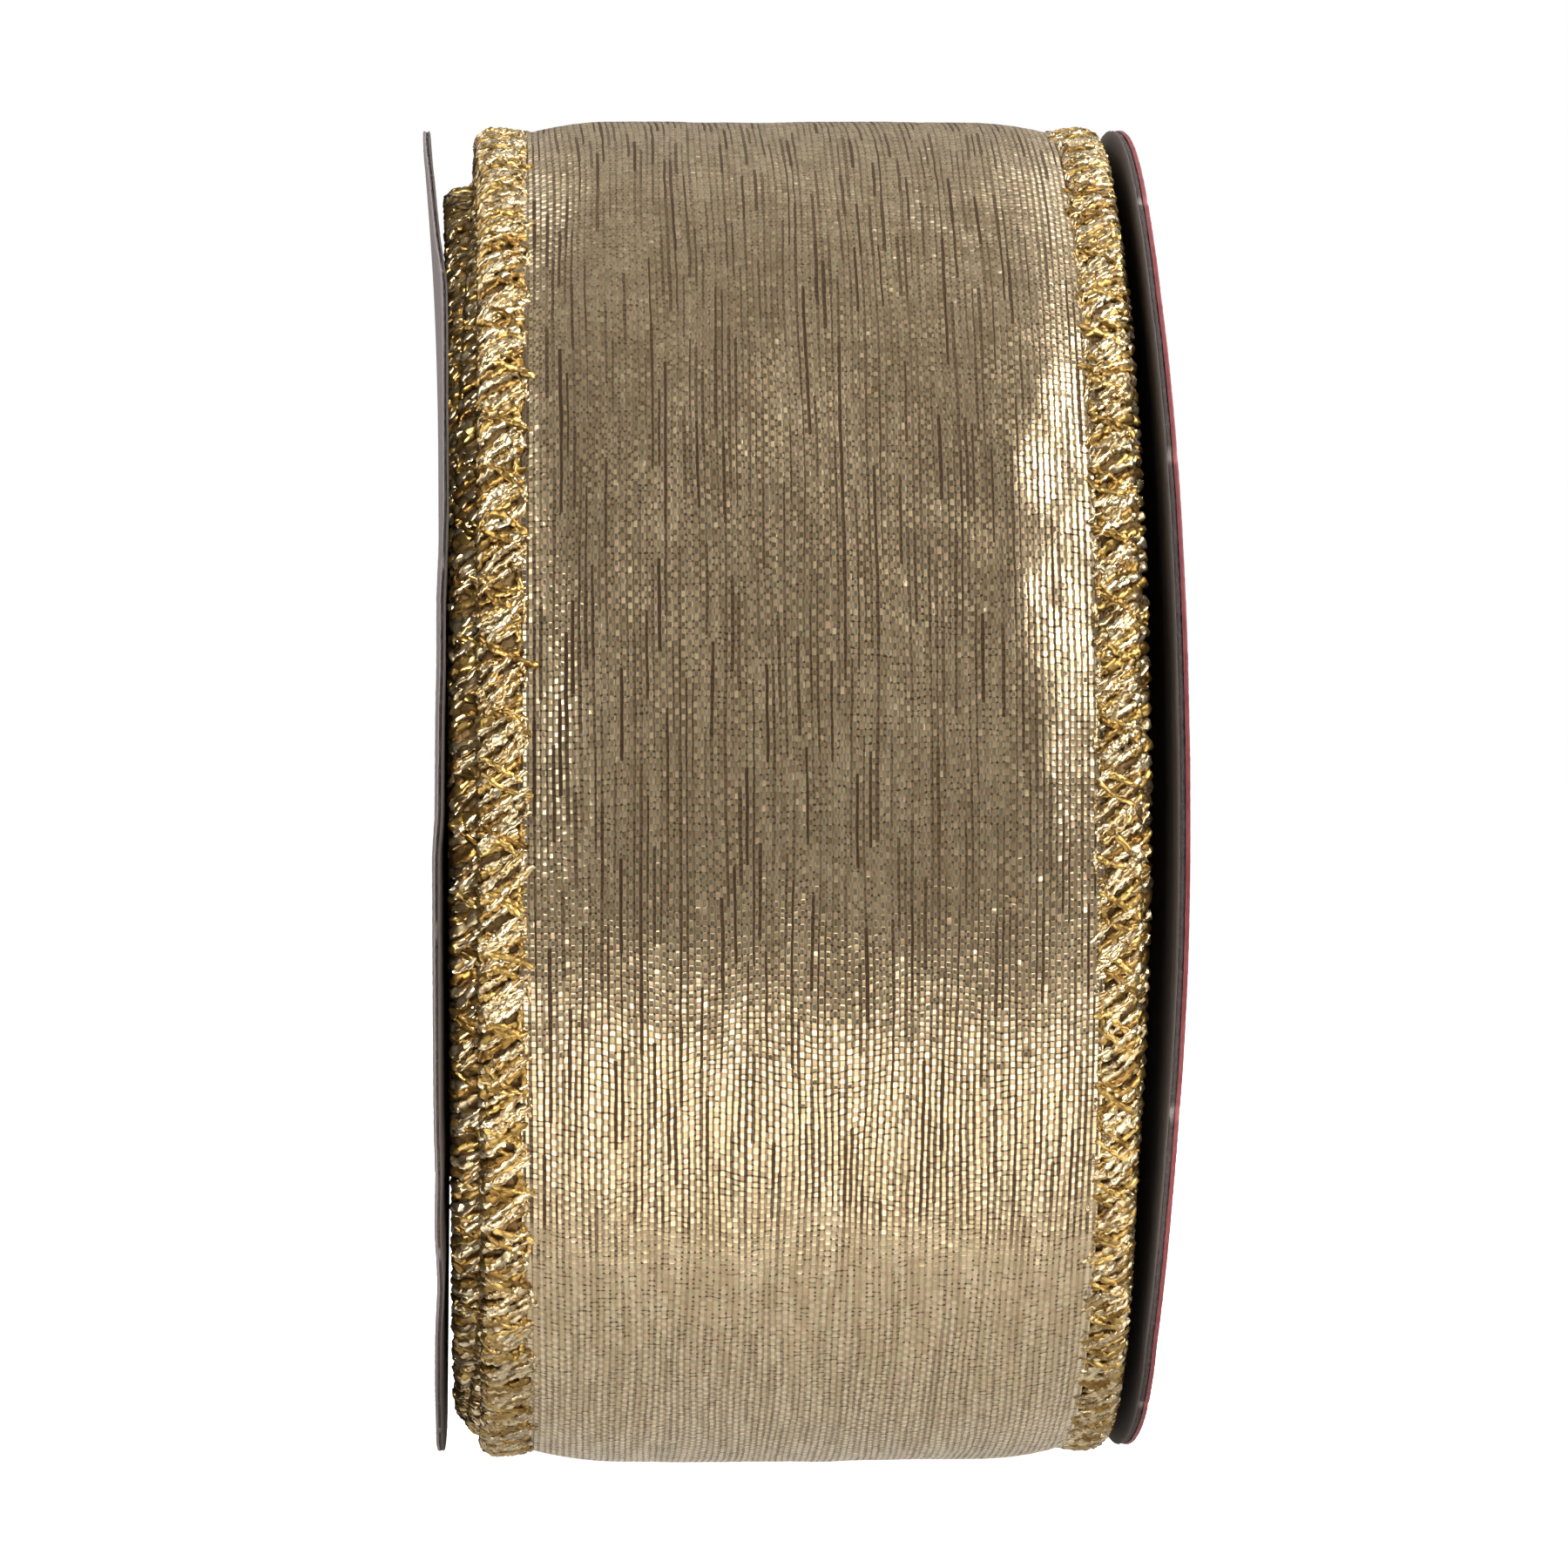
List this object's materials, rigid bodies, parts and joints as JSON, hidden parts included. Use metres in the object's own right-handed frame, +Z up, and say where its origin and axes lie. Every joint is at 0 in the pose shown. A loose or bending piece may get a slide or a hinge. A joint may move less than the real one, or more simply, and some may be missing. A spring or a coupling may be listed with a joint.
{
  "type": "ribbon spool",
  "caption": "Wired metallic gold ribbon with overlocked edges, wound on a paper core between two thin paperboard discs, with a free end that lifts and bends.",
  "frame": {"origin": "on the spool axis, midway between the two discs", "axes": "+X along the spool axis towards the red printed disc, +Z up as it stands on its rim, -Y towards the viewer"},
  "size_m": [0.0418, 0.0832, 0.0828],
  "materials": {
    "greyboard": "matte",
    "inner_liner": "matte",
    "plain_liner": "matte",
    "printed_liner": "satin print",
    "core_paper": "matte",
    "hot_melt": "satin",
    "metallic_web": "metallic lame weave",
    "gold_overlock": "metallic thread",
    "edge_wire": "drawn",
    "clear_tape": "clear film"
  },
  "bodies": {
    "spool": {"left_disc_inner_liner": "inner_liner", "left_disc_board": "greyboard", "left_disc_outer_liner": "plain_liner", "right_disc_inner_liner": "inner_liner", "right_disc_board": "greyboard", "right_disc_outer_liner": "printed_liner", "core_outer_ply": "core_paper", "core_inner_ply": "core_paper", "left_glue_bead": "hot_melt", "right_glue_bead": "hot_melt", "start_glue_dab": "hot_melt", "wound_web": "metallic_web", "wound_merrow_left": "gold_overlock", "wound_merrow_right": "gold_overlock", "wound_wire_left": "edge_wire", "wound_wire_right": "edge_wire"},
    "tail_1": {"tail_1_web": "metallic_web", "tail_1_merrow_left": "gold_overlock", "tail_1_merrow_right": "gold_overlock", "tail_1_wire_left": "edge_wire", "tail_1_wire_right": "edge_wire"},
    "tail_2": {"tail_2_web": "metallic_web", "tail_2_merrow_left": "gold_overlock", "tail_2_merrow_right": "gold_overlock", "tail_2_wire_left": "edge_wire", "tail_2_wire_right": "edge_wire"},
    "tail_3": {"tail_3_web": "metallic_web", "tail_3_merrow_left": "gold_overlock", "tail_3_merrow_right": "gold_overlock", "tail_3_wire_left": "edge_wire", "tail_3_wire_right": "edge_wire", "end_tape": "clear_tape"}
  },
  "joints": [
    {"name": "tail_bend_1", "type": "hinge", "parent": "spool", "child": "tail_1", "pos_m": [0, 0.04017, -0.00708], "axis": [-1, 0, 0], "range_deg": [0, 28]},
    {"name": "tail_bend_2", "type": "hinge", "parent": "tail_1", "child": "tail_2", "pos_m": [0, 0.039, 0.01207], "axis": [-1, 0, 0], "range_deg": [0, 28]},
    {"name": "tail_bend_3", "type": "hinge", "parent": "tail_2", "child": "tail_3", "pos_m": [0, 0.02926, 0.0286], "axis": [-1, 0, 0], "range_deg": [0, 28]}
  ]
}
